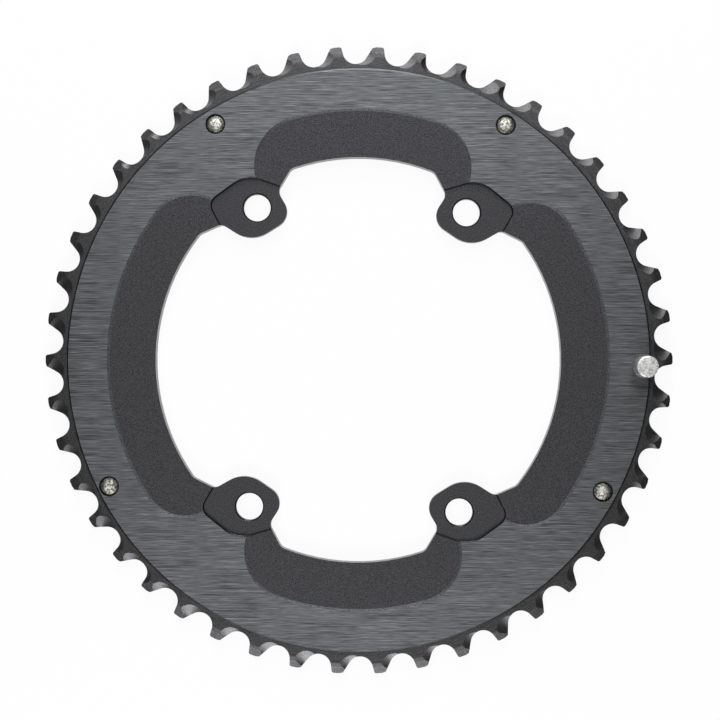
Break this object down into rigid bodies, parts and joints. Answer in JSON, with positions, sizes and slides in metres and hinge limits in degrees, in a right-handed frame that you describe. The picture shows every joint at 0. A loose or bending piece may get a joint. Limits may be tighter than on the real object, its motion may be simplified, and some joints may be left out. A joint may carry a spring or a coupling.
{
  "type": "bicycle chainring",
  "caption": "Round toothed outer chainring with a wide open middle, inward bolt lugs, recessed blasted pads on a brushed face, shift pins and a chain-catch pin.",
  "frame": {"origin": "on the ring's axis, in the plane of the lugs' outer seats", "axes": "+Z along the ring's axis, out of the brushed outer face; +X towards the chain-catch pin; the ring lies flat on its back face"},
  "size_m": [0.189, 0.189, 0.0112],
  "materials": {
    "anodised_plate": "grey anodised, brushed on the outer face and blasted in the pads and pockets",
    "catch_pin_steel": "ground and tumbled",
    "shift_pin_steel": "bright, peened"
  },
  "bodies": {
    "root": {"chainring_plate": "anodised_plate", "chain_catch_pin": "catch_pin_steel", "shift_pin_1": "shift_pin_steel", "shift_pin_2": "shift_pin_steel", "shift_pin_3": "shift_pin_steel", "shift_pin_4": "shift_pin_steel"}
  },
  "joints": []
}
